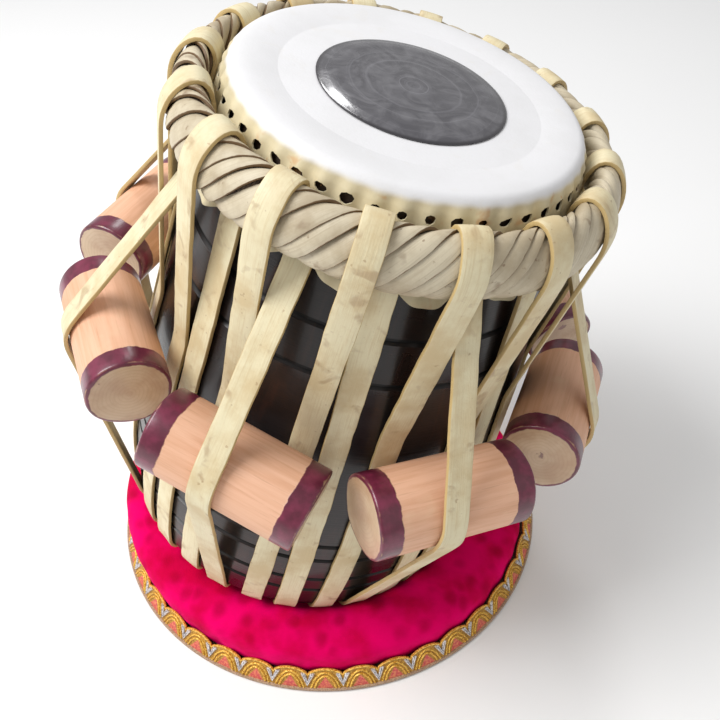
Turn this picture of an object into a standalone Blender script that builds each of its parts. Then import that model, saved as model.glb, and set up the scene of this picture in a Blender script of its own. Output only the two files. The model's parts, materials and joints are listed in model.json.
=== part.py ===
"""A tabla, the treble drum of the pair, leaning in its ring cushion.

Metres, +Z up. The origin is on the floor, under the middle of the whole object. The drum is modelled upright
about its own axis, with height measured up from the middle of its flat base, and then hung from an empty that
leans it over. Azimuth is measured round the drum's axis, anticlockwise from above.
"""

import math

import bmesh
import bpy
import numpy as np
from mathutils import Matrix, Vector

# The lean of the drum and its place on the cushion.
LEAN = math.radians(14.0)
LEAN_TOWARDS = math.radians(-15.0)
CUSHION_CENTRE = Vector((-0.0083, 0.0075, 0.0))
DRUM_BASE = CUSHION_CENTRE + Vector((-0.0187, 0.0003, 0.0310))

# Shell.
SHELL_HEIGHT = 0.2540
RIM_RADIUS = 0.0705
RIM_WALL = 0.0110
RIM_ROUND = 0.0030
BELLY_RADIUS = 0.0980
BELLY_HEIGHT = 0.0450
HEEL_RADIUS = 0.0960
BASE_RADIUS = 0.0820
HEEL_HEIGHT = 0.0140
FLOOR_THICKNESS = 0.0220
HOLLOW = ((0.0550, 0.0230), (0.0770, 0.0500), (0.0800, 0.0900), (0.0740, 0.1500))
GROOVE_HEIGHTS = (0.196, 0.174, 0.070, 0.058, 0.040, 0.028)
GROOVE_DEPTH = 0.0012
GROOVE_HALF_WIDTH = 0.0016

# Skins, from the rim upwards and outwards.
GAP = 0.0003
SKIN = 0.0008
SKIN_BEND = 0.0035
SKIN_SIDE_GAP = 0.0006
LINING_WIDTH = 0.0090
LINING_INSET = 0.0020
RIM_SKIN_THICKNESS = 0.0014
RIM_SKIN_INNER_RADIUS = 0.0520
PLAYING_SKIRT_BOTTOM = 0.2320
SKIRT_BOTTOM = 0.2235
SLOT_COUNT = 48
SLOT_HEIGHT = 0.2505
SLOT_DISTANCE = RIM_RADIUS + 0.0045
SLOT_SIZE = (0.0060, 0.0030, 0.0028)
PASTE_RADIUS = 0.0389
PASTE_RISE = 0.0016
PASTE_EDGE = 0.55 * PASTE_RISE

# Braided collar.
COLLAR_RADIUS = 0.0868
COLLAR_HEIGHT = 0.2400
COLLAR_HALF_WIDTH = 0.0075
COLLAR_HALF_HEIGHT = 0.0125
COLLAR_LEAN = -0.22

# Lacing and the ring under the base.
LOOP_COUNT = 16
FIRST_LOOP = math.radians(238.0)
LOOP_STEP = 2 * math.pi / LOOP_COUNT
STRAP_WIDTH = 0.0112
STRAP_THICKNESS = 0.0018
STRAP_LIFT = 0.0005 + STRAP_THICKNESS / 2
CLEAR_OF_HEM = 0.0040
BOTTOM_RING_RADIUS = 0.0620
BOTTOM_RING_THICKNESS = 0.0036
BOTTOM_RING_HEIGHT = -2 * STRAP_LIFT - BOTTOM_RING_THICKNESS - GAP
LEAVING_DISTANCE = 2.2 * (BOTTOM_RING_THICKNESS + GAP + STRAP_LIFT)
OUTER_RUN_TURN = math.radians(-4.0)
EMERGING_TURN = math.radians(6.6)
INNER_RUN_TURN = math.radians(7.25)

# Tuning dowels.
DOWEL_COUNT = 8
DOWEL_RADIUS = 0.0182
DOWEL_LENGTH = 0.0712
DOWEL_DISTANCE = 0.1132
DOWEL_HEIGHT = 0.1340
DOWEL_TURN = math.radians(9.0)
DOWEL_TILTS = (-4.0, 3.5, -3.0, 3.0, -2.5, 3.5, -3.5, 3.0)
DOWEL_CHAMFER = 0.0012
DOWEL_STRAP_GAP = 0.0006
LIFTED_SPAN = 0.0400
PRESSED_HEIGHT = 0.1500

# Cushion.
CUSHION_RADIUS = 0.1236
UNDERSIDE_THICKNESS = 0.0028
CUSHION_SECTION = (
    (0.1222, 0.0031), (0.1199, 0.0085), (0.1199, 0.0122), (0.1234, 0.0175), (0.1250, 0.0245),
    (0.1240, 0.0325), (0.1195, 0.0390), (0.1110, 0.0430), (0.1000, 0.0445), (0.0860, 0.0440),
    (0.0760, 0.0395), (0.0705, 0.0300), (0.0690, 0.0200), (0.0695, 0.0100), (0.0715, 0.0031),
)
TUCK_RADIUS, TUCK_HEIGHT = CUSHION_SECTION[2]
CUSHION_LOW_SIDE = 0.26
SEAT_CLEARANCE = 0.0011
SEAT_FLARE = 0.36
TRIM_LOW = (0.1256, 0.0006)
TRIM_HIGH = (0.1204, 0.0113)
TRIM_THICKNESS = 0.0016

SEGMENTS = 40


def material(name, colour, roughness, metallic=0.0):
    made = bpy.data.materials.new(name)
    made.use_nodes = True
    shader = made.node_tree.nodes["Principled BSDF"]
    shader.inputs["Base Color"].default_value = (*colour, 1.0)
    shader.inputs["Roughness"].default_value = roughness
    shader.inputs["Metallic"].default_value = metallic
    return made


def add(name, mesh, finish, parent, collection="tabla"):
    """Puts a mesh into the scene as one named object, in the frame of its parent."""
    made = bpy.data.objects.new(name, mesh)
    bpy.data.collections[collection].objects.link(made)
    if finish:
        mesh.materials.append(finish)
    made.parent = parent
    return made


def turned(name, profile, finish, parent, closed=False, collection="tabla"):
    """A solid of revolution. The (radius, height) profile runs down the outer side and up the inner one."""
    mesh = bpy.data.meshes.new(name)
    count = len(profile)
    edges = [(i, i + 1) for i in range(count - 1)]
    if closed:
        edges.append((count - 1, 0))
    mesh.from_pydata([(radius, 0.0, height) for radius, height in profile], edges, [])
    made = add(name, mesh, finish, parent, collection)
    screw = made.modifiers.new("Turn", "SCREW")
    screw.angle = 2 * math.pi
    screw.steps = SEGMENTS
    screw.render_steps = SEGMENTS
    screw.use_merge_vertices = True
    screw.merge_threshold = 0.0001
    screw.use_smooth_shade = True
    return made


def shell_radius(height):
    """The shell's outer radius above the heel: a taper to the rim and a slight tuck to the heel."""
    if height >= BELLY_HEIGHT:
        rise = (height - BELLY_HEIGHT) / (SHELL_HEIGHT - BELLY_HEIGHT)
        return BELLY_RADIUS - (BELLY_RADIUS - RIM_RADIUS) * rise**1.6
    drop = (BELLY_HEIGHT - height) / (BELLY_HEIGHT - HEEL_HEIGHT)
    return BELLY_RADIUS - (BELLY_RADIUS - HEEL_RADIUS) * drop**2


def heel_arc(points):
    """The rounded heel, from the side of the shell round to the flat base."""
    return [
        (
            BASE_RADIUS + (HEEL_RADIUS - BASE_RADIUS) * math.cos(angle),
            HEEL_HEIGHT * (1 - math.sin(angle)),
        )
        for angle in np.linspace(0, math.pi / 2, points)
    ]


def shell_side(with_grooves):
    """(radius, height) points down the outside of the shell, from the rim to the edge of the base."""
    heights = np.linspace(BELLY_HEIGHT, SHELL_HEIGHT - RIM_ROUND, 7)
    side = [(shell_radius(height), height) for height in heights]
    if with_grooves:
        for height in GROOVE_HEIGHTS:
            side = [point for point in side if abs(point[1] - height) > 2 * GROOVE_HALF_WIDTH]
            for step, depth in ((1, 0.0), (0, GROOVE_DEPTH), (-1, 0.0)):
                level = height + step * GROOVE_HALF_WIDTH
                side.append((shell_radius(level) - depth, level))
    side.sort(key=lambda point: -point[1])
    corner = (RIM_RADIUS - RIM_ROUND, SHELL_HEIGHT - RIM_ROUND)
    rim = arc(corner, (RIM_ROUND, RIM_ROUND), 90, 30, 3)
    return rim + side + heel_arc(4)


def outset(points, distance):
    """The points of a profile that runs down its outer side, moved out square to it."""
    line = np.array(points)
    along = np.gradient(line, axis=0)
    outward = np.stack([-along[:, 1], along[:, 0]], axis=1)
    outward /= np.linalg.norm(outward, axis=1)[:, None]
    return [tuple(point) for point in line + distance * outward]


def taut(points):
    """The points that a string touches when it is pulled tight round the outside of these, first to last."""
    tight = []
    for point in points:
        while len(tight) > 1:
            (r0, h0), (r1, h1) = tight[-2], tight[-1]
            turn = (r1 - r0) * (point[1] - h0) - (h1 - h0) * (point[0] - r0)
            if turn < 0:
                break
            tight.pop()
        tight.append(point)
    return tight


def arc(centre, radii, first, last, points):
    """(radius, height) points on an ellipse, between two angles in degrees."""
    return [
        (centre[0] + radii[0] * math.cos(angle), centre[1] + radii[1] * math.sin(angle))
        for angle in np.radians(np.linspace(first, last, points))
    ]


def round_collar(spare, first, last, points):
    """Points round the collar's leaning oval section, or outside it by a spare distance."""
    radii = (COLLAR_HALF_WIDTH + spare, COLLAR_HALF_HEIGHT + spare)
    oval = arc((COLLAR_RADIUS, COLLAR_HEIGHT), radii, first, last, points)
    return [(radius + COLLAR_LEAN * (height - COLLAR_HEIGHT), height) for radius, height in oval]


def dowel_azimuth(number):
    return FIRST_LOOP + 2 * number * LOOP_STEP + DOWEL_TURN


def add_shell(frame):
    wood = material("lacquered_wood", (0.018, 0.012, 0.011), 0.22)
    inner = [(0.0, FLOOR_THICKNESS), *HOLLOW, (RIM_RADIUS - RIM_WALL, SHELL_HEIGHT)]
    turned("shell", inner + shell_side(True) + [(0.0, 0.0)], wood, frame)


def skin_profile(inner_radius, lowest, thickness, over_rim, beside_rim):
    """A skin drawn over the rim and down outside it, clear of the shell by a distance above and one beside."""
    top = SHELL_HEIGHT + over_rim
    under = [(inner_radius, top)]
    corner = (RIM_RADIUS - SKIN_BEND + beside_rim, top - SKIN_BEND)
    under += arc(corner, (SKIN_BEND, SKIN_BEND), 90, 0, 4)
    depths = np.linspace(top - SKIN_BEND, lowest, 3)[1:]
    under += [(shell_radius(depth) + beside_rim, depth) for depth in depths]
    over = outset(under, thickness)
    return over + list(reversed(under))


def add_skins(frame):
    hide = material("goat_skin", (0.86, 0.84, 0.78), 0.55)
    paste = material("tuning_paste", (0.10, 0.10, 0.115), 0.28)
    rim = SHELL_HEIGHT + GAP
    lining = [
        (RIM_RADIUS - LINING_WIDTH, rim + SKIN),
        (RIM_RADIUS - LINING_INSET, rim + SKIN),
        (RIM_RADIUS - LINING_INSET, rim),
        (RIM_RADIUS - LINING_WIDTH, rim),
    ]
    turned("inner_lining", lining, hide, frame, closed=True)

    over_rim = 2 * GAP + SKIN
    playing = skin_profile(0.0, PLAYING_SKIRT_BOTTOM, SKIN, over_rim, SKIN_SIDE_GAP)
    turned("playing_skin", playing, hide, frame)

    layer = SKIN + GAP
    rim_profile = skin_profile(
        RIM_SKIN_INNER_RADIUS, SKIRT_BOTTOM, RIM_SKIN_THICKNESS, over_rim + layer, SKIN_SIDE_GAP + layer
    )
    rim_skin = turned("rim_skin", rim_profile, hide, frame, closed=True)
    cutter = slot_cutter(frame)
    cut = rim_skin.modifiers.new("Slots", "BOOLEAN")
    cut.operation = "DIFFERENCE"
    cut.object = cutter

    level = SHELL_HEIGHT + over_rim + layer
    domed = [
        (PASTE_RADIUS * math.sin(angle), level + PASTE_EDGE + (PASTE_RISE - PASTE_EDGE) * math.cos(angle))
        for angle in np.linspace(0, math.pi / 2, 6)
    ]
    turned("tuning_paste", domed + [(PASTE_RADIUS, level), (0.0, level)], paste, frame)


def slot_cutter(frame):
    """The lacing slots, one box each, all round the skin just above the collar."""
    mesh = bmesh.new()
    depth, width, height = SLOT_SIZE
    for number in range(SLOT_COUNT):
        turn = Matrix.Rotation(2 * math.pi * (number + 0.5) / SLOT_COUNT, 4, "Z")
        place = Matrix.Translation((SLOT_DISTANCE, 0.0, SLOT_HEIGHT))
        size = Matrix.Diagonal((depth, width, height, 1.0))
        bmesh.ops.create_cube(mesh, size=1.0, matrix=turn @ place @ size)
    data = bpy.data.meshes.new("slot_cutter")
    mesh.to_mesh(data)
    mesh.free()
    cutter = add("slot_cutter", data, None, frame, "cutters")
    cutter.hide_render = True
    cutter.display_type = "WIRE"
    return cutter


def add_collar(frame):
    leather = material("braided_leather", (0.66, 0.56, 0.40), 0.6)
    turned("braided_collar", round_collar(0.0, 0, -330, 12), leather, frame, closed=True)
    ring = arc(
        (BOTTOM_RING_RADIUS, BOTTOM_RING_HEIGHT),
        (BOTTOM_RING_THICKNESS, BOTTOM_RING_THICKNESS), 0, -315, 8,
    )
    turned("bottom_ring", ring, leather, frame, closed=True)


def strap_route(lifted):
    """One loop of the lacing, as (radius, height, turn) points, the turn being from the loop's own azimuth.

    It starts on top of the collar, goes down behind it and down the shell, or over a dowel, to the ring under
    the base, round that ring, and back up the shell, where the dowels press it in, and over the outside of
    the collar.
    """
    side = outset(shell_side(False), STRAP_LIFT)
    flat = (BOTTOM_RING_RADIUS, -STRAP_LIFT)
    wrap = BOTTOM_RING_THICKNESS + GAP + STRAP_LIFT

    top = round_collar(STRAP_LIFT, 90, 165, 5)
    behind = COLLAR_RADIUS - COLLAR_HALF_WIDTH - STRAP_LIFT
    emerging = (behind + COLLAR_LEAN * (SKIRT_BOTTOM - COLLAR_HEIGHT), SKIRT_BOTTOM)
    below = [point for point in side if point[1] < SKIRT_BOTTOM - CLEAR_OF_HEM]
    obstacles = [emerging]
    if lifted:
        reach = DOWEL_RADIUS + STRAP_LIFT + DOWEL_STRAP_GAP
        obstacles += [point for point in below if point[1] > DOWEL_HEIGHT + LIFTED_SPAN]
        obstacles += arc((DOWEL_DISTANCE, DOWEL_HEIGHT), (reach, reach), 65, -65, 7)
        obstacles += [point for point in below if point[1] < DOWEL_HEIGHT - LIFTED_SPAN]
    else:
        obstacles += below
    inner_run = taut(obstacles + [flat])
    pressed = [point for point in below if point[1] < PRESSED_HEIGHT]
    outer_run = taut(round_collar(STRAP_LIFT, 70, -50, 7) + pressed[:1]) + taut(pressed + [flat])[1:]

    route = [(radius, height, 0.0) for radius, height in top]
    route.append((behind, COLLAR_HEIGHT, EMERGING_TURN / 2))
    route += turning(inner_run, EMERGING_TURN, INNER_RUN_TURN)
    round_ring = arc((BOTTOM_RING_RADIUS, BOTTOM_RING_HEIGHT), (wrap, wrap), 90, 360, 7)[1:]
    route += turning(round_ring, INNER_RUN_TURN, OUTER_RUN_TURN)
    leaving = (BOTTOM_RING_RADIUS + LEAVING_DISTANCE, -STRAP_LIFT)
    rising = [leaving] + list(reversed(outer_run[:-1]))
    return route + turning(rising, OUTER_RUN_TURN, 0.0)


def turning(points, first, last):
    """Gives each (radius, height) point its share of a turn, by its distance along the run."""
    steps = np.linalg.norm(np.diff(np.array(points), axis=0), axis=1)
    share = np.concatenate([[0.0], np.cumsum(steps)]) / steps.sum()
    return [
        (radius, height, first + (last - first) * part)
        for (radius, height), part in zip(points, share)
    ]


def add_straps(frame):
    """The lacing: each loop is a closed flat band, laid as its middle surface and then thickened."""
    leather = material("lacing_leather", (0.80, 0.72, 0.53), 0.55)
    for number in range(LOOP_COUNT):
        lifted = number % 2 == 0
        route = strap_route(lifted)
        azimuth = FIRST_LOOP + number * LOOP_STEP
        band = bmesh.new()
        rows = []
        for radius, height, turn in route:
            angle = azimuth + turn
            middle = Vector((radius * math.cos(angle), radius * math.sin(angle), height))
            across = Vector((-math.sin(angle), math.cos(angle), 0.0)) * STRAP_WIDTH / 2
            rows.append((band.verts.new(middle - across), band.verts.new(middle + across)))
        for (a, b), (c, d) in zip(rows, rows[1:] + rows[:1]):
            band.faces.new((a, c, d, b))
        name = f"strap_{number + 1:02d}"
        mesh = bpy.data.meshes.new(name)
        band.to_mesh(mesh)
        band.free()
        strap = add(name, mesh, leather, frame)
        thick = strap.modifiers.new("Thickness", "SOLIDIFY")
        thick.thickness = STRAP_THICKNESS
        thick.offset = 0.0
        thick.use_even_offset = True


def add_dowels(frame):
    wood = material("turned_dowel_wood", (0.80, 0.52, 0.32), 0.6)
    shape = bmesh.new()
    bmesh.ops.create_cone(
        shape, cap_ends=True, segments=28, radius1=DOWEL_RADIUS, radius2=DOWEL_RADIUS, depth=DOWEL_LENGTH
    )
    rims = [edge for edge in shape.edges if any(abs(face.normal.z) > 0.5 for face in edge.link_faces)]
    bmesh.ops.bevel(shape, geom=rims, offset=DOWEL_CHAMFER, segments=1, affect="EDGES")
    mesh = bpy.data.meshes.new("tuning_dowel")
    shape.to_mesh(mesh)
    shape.free()
    mesh.materials.append(wood)
    for number in range(DOWEL_COUNT):
        azimuth = dowel_azimuth(number)
        dowel = add(f"tuning_dowel_{number + 1}", mesh, None, frame)
        lie = Matrix.Rotation(math.radians(90 + DOWEL_TILTS[number]), 4, "X")
        place = Matrix.Translation((DOWEL_DISTANCE, 0.0, DOWEL_HEIGHT))
        dowel.matrix_local = Matrix.Rotation(azimuth, 4, "Z") @ place @ lie


def seat_cutter(frame):
    """The space that the drum's lower end takes in the cushion."""
    clear = STRAP_LIFT + STRAP_THICKNESS / 2 + SEAT_CLEARANCE
    mouth = [(0.0, SHELL_HEIGHT), (BELLY_RADIUS + SHELL_HEIGHT * SEAT_FLARE, SHELL_HEIGHT)]
    heel = outset(heel_arc(5), clear)
    wrap = BOTTOM_RING_THICKNESS + GAP + STRAP_THICKNESS + 2 * SEAT_CLEARANCE
    lowest = BOTTOM_RING_HEIGHT - wrap
    hub = [(BOTTOM_RING_RADIUS + 2 * wrap, -clear), (BOTTOM_RING_RADIUS + 0.5 * wrap, lowest), (0.0, lowest)]
    cutter = turned("seat_cutter", mouth + heel + hub, None, frame, collection="cutters")
    cutter.hide_render = True
    cutter.display_type = "WIRE"
    return cutter


def add_cushion(base, frame):
    velvet = material("velvet", (0.62, 0.0, 0.11), 0.85)
    lace = material("gold_lace", (0.72, 0.45, 0.10), 0.4, 0.6)
    canvas = material("backing_cloth", (0.45, 0.33, 0.22), 0.9)

    ring = turned("ring_cushion", CUSHION_SECTION, velvet, base, closed=True)
    bpy.context.view_layer.update()
    solid = bpy.data.meshes.new_from_object(ring.evaluated_get(bpy.context.evaluated_depsgraph_get()))
    ring.modifiers.clear()
    ring.data = solid
    low = Vector((math.cos(LEAN_TOWARDS), math.sin(LEAN_TOWARDS), 0.0))
    for vertex in solid.vertices:
        if vertex.co.z > TUCK_HEIGHT:
            side = vertex.co.dot(low) / CUSHION_RADIUS
            share = 1.0 - (1.0 - CUSHION_LOW_SIDE) * (0.5 + 0.5 * min(1.0, max(-1.0, side)))
            vertex.co.z = TUCK_HEIGHT + (vertex.co.z - TUCK_HEIGHT) * share
            out = Vector((vertex.co.x, vertex.co.y))
            if out.length > TUCK_RADIUS:
                out *= (TUCK_RADIUS + (out.length - TUCK_RADIUS) * share) / out.length
                vertex.co.x, vertex.co.y = out
    seat = ring.modifiers.new("Seat", "BOOLEAN")
    seat.operation = "DIFFERENCE"
    seat.object = seat_cutter(frame)

    inner = CUSHION_SECTION[-1][0]
    under = [
        (CUSHION_RADIUS, UNDERSIDE_THICKNESS), (CUSHION_RADIUS, 0.0), (inner, 0.0),
        (inner, UNDERSIDE_THICKNESS),
    ]
    turned("cushion_underside", under, canvas, base, closed=True)

    inside = [TRIM_HIGH, TRIM_LOW]
    outside = [(radius + TRIM_THICKNESS, height) for radius, height in inside]
    turned("cushion_trim", outside + list(reversed(inside)), lace, base, closed=True)


def main():
    for old in list(bpy.data.objects):
        bpy.data.objects.remove(old, do_unlink=True)
    for name in ("tabla", "cutters"):
        bpy.context.scene.collection.children.link(bpy.data.collections.new(name))

    base = bpy.data.objects.new("cushion_frame", None)
    frame = bpy.data.objects.new("drum_frame", None)
    for empty in (base, frame):
        bpy.data.collections["tabla"].objects.link(empty)
    base.location = CUSHION_CENTRE
    hinge = Vector((-math.sin(LEAN_TOWARDS), math.cos(LEAN_TOWARDS), 0.0))
    frame.matrix_world = Matrix.Translation(DRUM_BASE) @ Matrix.Rotation(LEAN, 4, hinge)

    add_shell(frame)
    add_skins(frame)
    add_collar(frame)
    add_straps(frame)
    add_dowels(frame)
    add_cushion(base, frame)


main()
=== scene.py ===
"""The looks of a tabla: the treble drum of the pair, leaning in its ring cushion.

Metres, +Z up. Pieces of the drum are made upright about the Z axis, with height measured up from the middle of the
drum's flat base, and are then laid over onto the leaning drum. Azimuth runs anticlockwise, seen from above.
"""

import json
import math
import random

import bpy
import numpy as np
from mathutils import Matrix, Vector, noise


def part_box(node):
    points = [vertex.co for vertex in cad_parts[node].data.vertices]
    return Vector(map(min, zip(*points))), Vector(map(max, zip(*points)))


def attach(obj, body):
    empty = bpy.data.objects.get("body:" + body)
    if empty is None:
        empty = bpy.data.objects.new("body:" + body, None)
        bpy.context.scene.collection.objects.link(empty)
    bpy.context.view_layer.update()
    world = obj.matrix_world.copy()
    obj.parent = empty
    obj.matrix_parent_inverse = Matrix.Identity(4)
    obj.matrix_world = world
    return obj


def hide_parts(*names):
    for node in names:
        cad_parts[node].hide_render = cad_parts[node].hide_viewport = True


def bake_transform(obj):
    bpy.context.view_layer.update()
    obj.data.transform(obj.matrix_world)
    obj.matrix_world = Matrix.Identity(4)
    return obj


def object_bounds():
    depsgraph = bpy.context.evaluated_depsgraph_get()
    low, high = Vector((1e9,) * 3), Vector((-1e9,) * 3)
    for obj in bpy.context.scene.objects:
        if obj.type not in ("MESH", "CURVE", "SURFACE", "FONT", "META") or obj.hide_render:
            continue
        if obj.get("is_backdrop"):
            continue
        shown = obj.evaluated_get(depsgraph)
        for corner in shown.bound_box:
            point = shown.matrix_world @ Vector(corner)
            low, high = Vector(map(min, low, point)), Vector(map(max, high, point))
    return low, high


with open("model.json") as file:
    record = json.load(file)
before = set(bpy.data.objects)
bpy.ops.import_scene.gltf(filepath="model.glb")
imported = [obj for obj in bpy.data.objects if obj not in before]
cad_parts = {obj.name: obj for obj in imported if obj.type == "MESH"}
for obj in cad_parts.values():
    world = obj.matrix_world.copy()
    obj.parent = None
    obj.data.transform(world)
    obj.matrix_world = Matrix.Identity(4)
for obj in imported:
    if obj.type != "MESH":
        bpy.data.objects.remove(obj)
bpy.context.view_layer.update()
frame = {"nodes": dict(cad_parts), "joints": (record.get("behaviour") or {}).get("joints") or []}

bpy.ops.object.select_all(action="DESELECT")

# The lean: the drum's own axis is the line that its dowels slide along, on average, and the ring under its base
# marks the middle. All the drum's pieces are turned, cut and laced round that axis.
RING_DROP = 0.0067

axis = -sum((Vector(joint["axis"]) for joint in frame["joints"] if "dowel" in joint["name"]), Vector())
axis.normalize()
ring_points = np.array([vertex.co for vertex in frame["nodes"]["bottom_ring"].data.vertices])
ring_levels = ring_points @ np.array(axis)
base = Vector(ring_points.mean(axis=0))
base += axis * ((ring_levels.min() + ring_levels.max()) / 2 - base.dot(axis) + RING_DROP)
upright_to_axis = Vector((0, 0, 1)).rotation_difference(axis)
LEANING = Matrix.Translation(base) @ upright_to_axis.to_matrix().to_4x4()


def lean(piece):
    piece.data.transform(LEANING)
    piece.data.update()


def linked(name, data):
    """A new object in the scene."""
    made = bpy.data.objects.new(name, data)
    bpy.context.collection.objects.link(made)
    return made


def pick(*pieces):
    """Selects these pieces and no others, the first one active."""
    bpy.ops.object.select_all(action="DESELECT")
    for piece in pieces:
        piece.select_set(True)
    bpy.context.view_layer.objects.active = pieces[0]


# Shell: one block of heavy wood, turned on a lathe, hollowed out by hand and finished in dark gloss lacquer.
# Rings are cut round it as decoration, two high up and four low down, and its heel is rounded.
SHELL_HEIGHT = 0.2540
RIM_RADIUS = 0.0705
RIM_WALL = 0.0110
RIM_ROUND = 0.0030
BELLY_RADIUS = 0.0980
BELLY_HEIGHT = 0.0450
HEEL_RADIUS = 0.0960
BASE_RADIUS = 0.0820
HEEL_HEIGHT = 0.0140
HOLLOW = ((0.0, 0.0220), (0.0550, 0.0230), (0.0770, 0.0500), (0.0800, 0.0900), (0.0740, 0.1500))
GROOVES = (0.196, 0.174, 0.070, 0.058, 0.040, 0.028)
GROOVE_DEPTH = 0.0013
GROOVE_HALF_WIDTH = 0.0016


def shell_radius(height):
    """The shell's outer radius above the heel: a taper to the rim and a slight tuck to the heel."""
    if height >= BELLY_HEIGHT:
        rise = (height - BELLY_HEIGHT) / (SHELL_HEIGHT - BELLY_HEIGHT)
        return BELLY_RADIUS - (BELLY_RADIUS - RIM_RADIUS) * rise**1.6
    drop = (BELLY_HEIGHT - height) / (BELLY_HEIGHT - HEEL_HEIGHT)
    return BELLY_RADIUS - (BELLY_RADIUS - HEEL_RADIUS) * drop**2


def arc(centre, radii, first, last, points):
    """(radius, height) points on an ellipse, between two angles in degrees."""
    return [
        (centre[0] + radii[0] * math.cos(angle), centre[1] + radii[1] * math.sin(angle))
        for angle in np.radians(np.linspace(first, last, points))
    ]


def groove_depth(height):
    nearest = min(abs(height - groove) for groove in GROOVES) / GROOVE_HALF_WIDTH
    return GROOVE_DEPTH * min(1.0, max(0.0, 1.7 * (1.0 - nearest)))


def shell_heights():
    """Heights down the side, close together where a groove is cut."""
    plain = list(np.linspace(HEEL_HEIGHT, SHELL_HEIGHT - RIM_ROUND, 50))
    cut = [groove + share * GROOVE_HALF_WIDTH for groove in GROOVES for share in (-1, -0.7, -0.4, 0, 0.4, 0.7, 1)]
    clear = [height for height in plain if min(abs(height - groove) for groove in GROOVES) > 0.0022]
    return sorted(clear + cut, reverse=True)


def turned(name, profile, around):
    """Turns a (radius, height) profile as a lathe does: a circle drawn up and out, one ring after the other."""
    bpy.ops.object.select_all(action="DESELECT")
    from_centre = profile[0][0] == 0
    rings = profile[1:] if from_centre else profile
    bpy.ops.mesh.primitive_circle_add(
        vertices=around, radius=rings[0][0], fill_type="TRIFAN" if from_centre else "NOTHING"
    )
    piece = bpy.context.object
    piece.name = piece.data.name = name
    bpy.ops.object.mode_set(mode="EDIT")
    bpy.ops.transform.translate(value=(0, 0, rings[0][1]))
    bpy.ops.mesh.select_mode(type="EDGE")
    bpy.ops.mesh.select_all(action="DESELECT")
    bpy.ops.mesh.select_non_manifold()
    for (radius, height), (next_radius, next_height) in zip(rings, rings[1:]):
        bpy.ops.mesh.extrude_region_move(TRANSFORM_OT_translate={"value": (0, 0, next_height - height)})
        if next_radius > 0:
            share = next_radius / radius
            bpy.ops.transform.resize(value=(share, share, 1), center_override=(0, 0, next_height))
        else:
            bpy.ops.mesh.merge(type="CENTER")
    return piece


def close_ring():
    """Joins the first and last rings of a turned shape that goes all the way round its own section."""
    bpy.ops.mesh.select_all(action="DESELECT")
    bpy.ops.mesh.select_non_manifold()
    bpy.ops.mesh.bridge_edge_loops()


def smooth(piece, degrees=40):
    """Leaves edit mode with the faces pointing out and shaded smooth up to an angle."""
    if bpy.context.mode == "EDIT_MESH":
        bpy.ops.mesh.select_all(action="SELECT")
        bpy.ops.mesh.normals_make_consistent(inside=False)
        bpy.ops.object.mode_set(mode="OBJECT")
    pick(piece)
    bpy.ops.object.shade_smooth_by_angle(angle=math.radians(degrees))


def reshape(piece, kind, **settings):
    """Adds a modifier to the active piece and applies it."""
    made = piece.modifiers.new(kind, kind)
    for name, value in settings.items():
        setattr(made, name, value)
    bpy.ops.object.modifier_apply(modifier=made.name)


def points_of(piece):
    flat = np.empty(len(piece.data.vertices) * 3)
    piece.data.vertices.foreach_get("co", flat)
    return flat.reshape(-1, 3)


def put_points(piece, points):
    piece.data.vertices.foreach_set("co", points.ravel())
    piece.data.update()


def note(piece, name, values):
    """Keeps a number, or three, with each point of a mesh, for a pattern that follows the surface."""
    values = np.asarray(values, float)
    kind, field = ("FLOAT_VECTOR", "vector") if values.ndim == 2 else ("FLOAT", "value")
    piece.data.attributes.new(name, kind, "POINT").data.foreach_set(field, values.ravel())


side = [(shell_radius(height) - groove_depth(height), height) for height in shell_heights()]
rim = arc((RIM_RADIUS - RIM_ROUND, SHELL_HEIGHT - RIM_ROUND), (RIM_ROUND, RIM_ROUND), 90, 15, 5)
heel = arc((BASE_RADIUS, HEEL_HEIGHT), (HEEL_RADIUS - BASE_RADIUS, HEEL_HEIGHT), 0, -90, 10)[1:]
inside = list(HOLLOW) + [(RIM_RADIUS - RIM_WALL, SHELL_HEIGHT)]
shell = turned("shell_lacquered", inside + rim + side + heel + [(0.0, 0.0)], 144)
smooth(shell, 28)
reach = np.hypot(points_of(shell)[:, 0], points_of(shell)[:, 1])
note(shell, "groove", [groove_depth(z) / GROOVE_DEPTH * (r > 0.06) for r, z in zip(reach, points_of(shell)[:, 2])])
lean(shell)
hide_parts("shell")
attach(shell, "drum")


def put(tree, kind, inputs=None, **settings):
    """Adds a node. Each input, by its name or number, is a value or the output that feeds it."""
    made = tree.nodes.new(kind)
    for name, value in settings.items():
        setattr(made, name, value)
    for key, value in (inputs or {}).items():
        if isinstance(value, bpy.types.NodeSocket):
            tree.links.new(value, made.inputs[key])
        else:
            made.inputs[key].default_value = value
    return made


def feed(tree, shader, inputs):
    """Leads each output to the shader's input of that name."""
    for name, output in inputs.items():
        tree.links.new(output, shader.inputs[name])


def fix(shader, values):
    """Sets each of the shader's inputs to one value."""
    for name, value in values.items():
        shader.inputs[name].default_value = value


def surface(name):
    """A material, its node tree and its Principled shader."""
    made = bpy.data.materials.new(name)
    made.use_nodes = True
    return made, made.node_tree, made.node_tree.nodes["Principled BSDF"]


def mixed(tree, share, first, second, way="MIX"):
    return put(tree, "ShaderNodeMix", {0: share, 6: first, 7: second}, data_type="RGBA", blend_type=way).outputs[2]


def calc(tree, way, first, second=0.0, third=0.0):
    return put(tree, "ShaderNodeMath", {0: first, 1: second, 2: third}, operation=way).outputs[0]


def between(tree, value, low, high, top=1.0):
    """0 below low, top above high and a smooth step between them."""
    sockets = {"Value": value, "From Min": low, "From Max": high, "To Max": top}
    return put(tree, "ShaderNodeMapRange", sockets, interpolation_type="SMOOTHSTEP").outputs["Result"]


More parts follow.
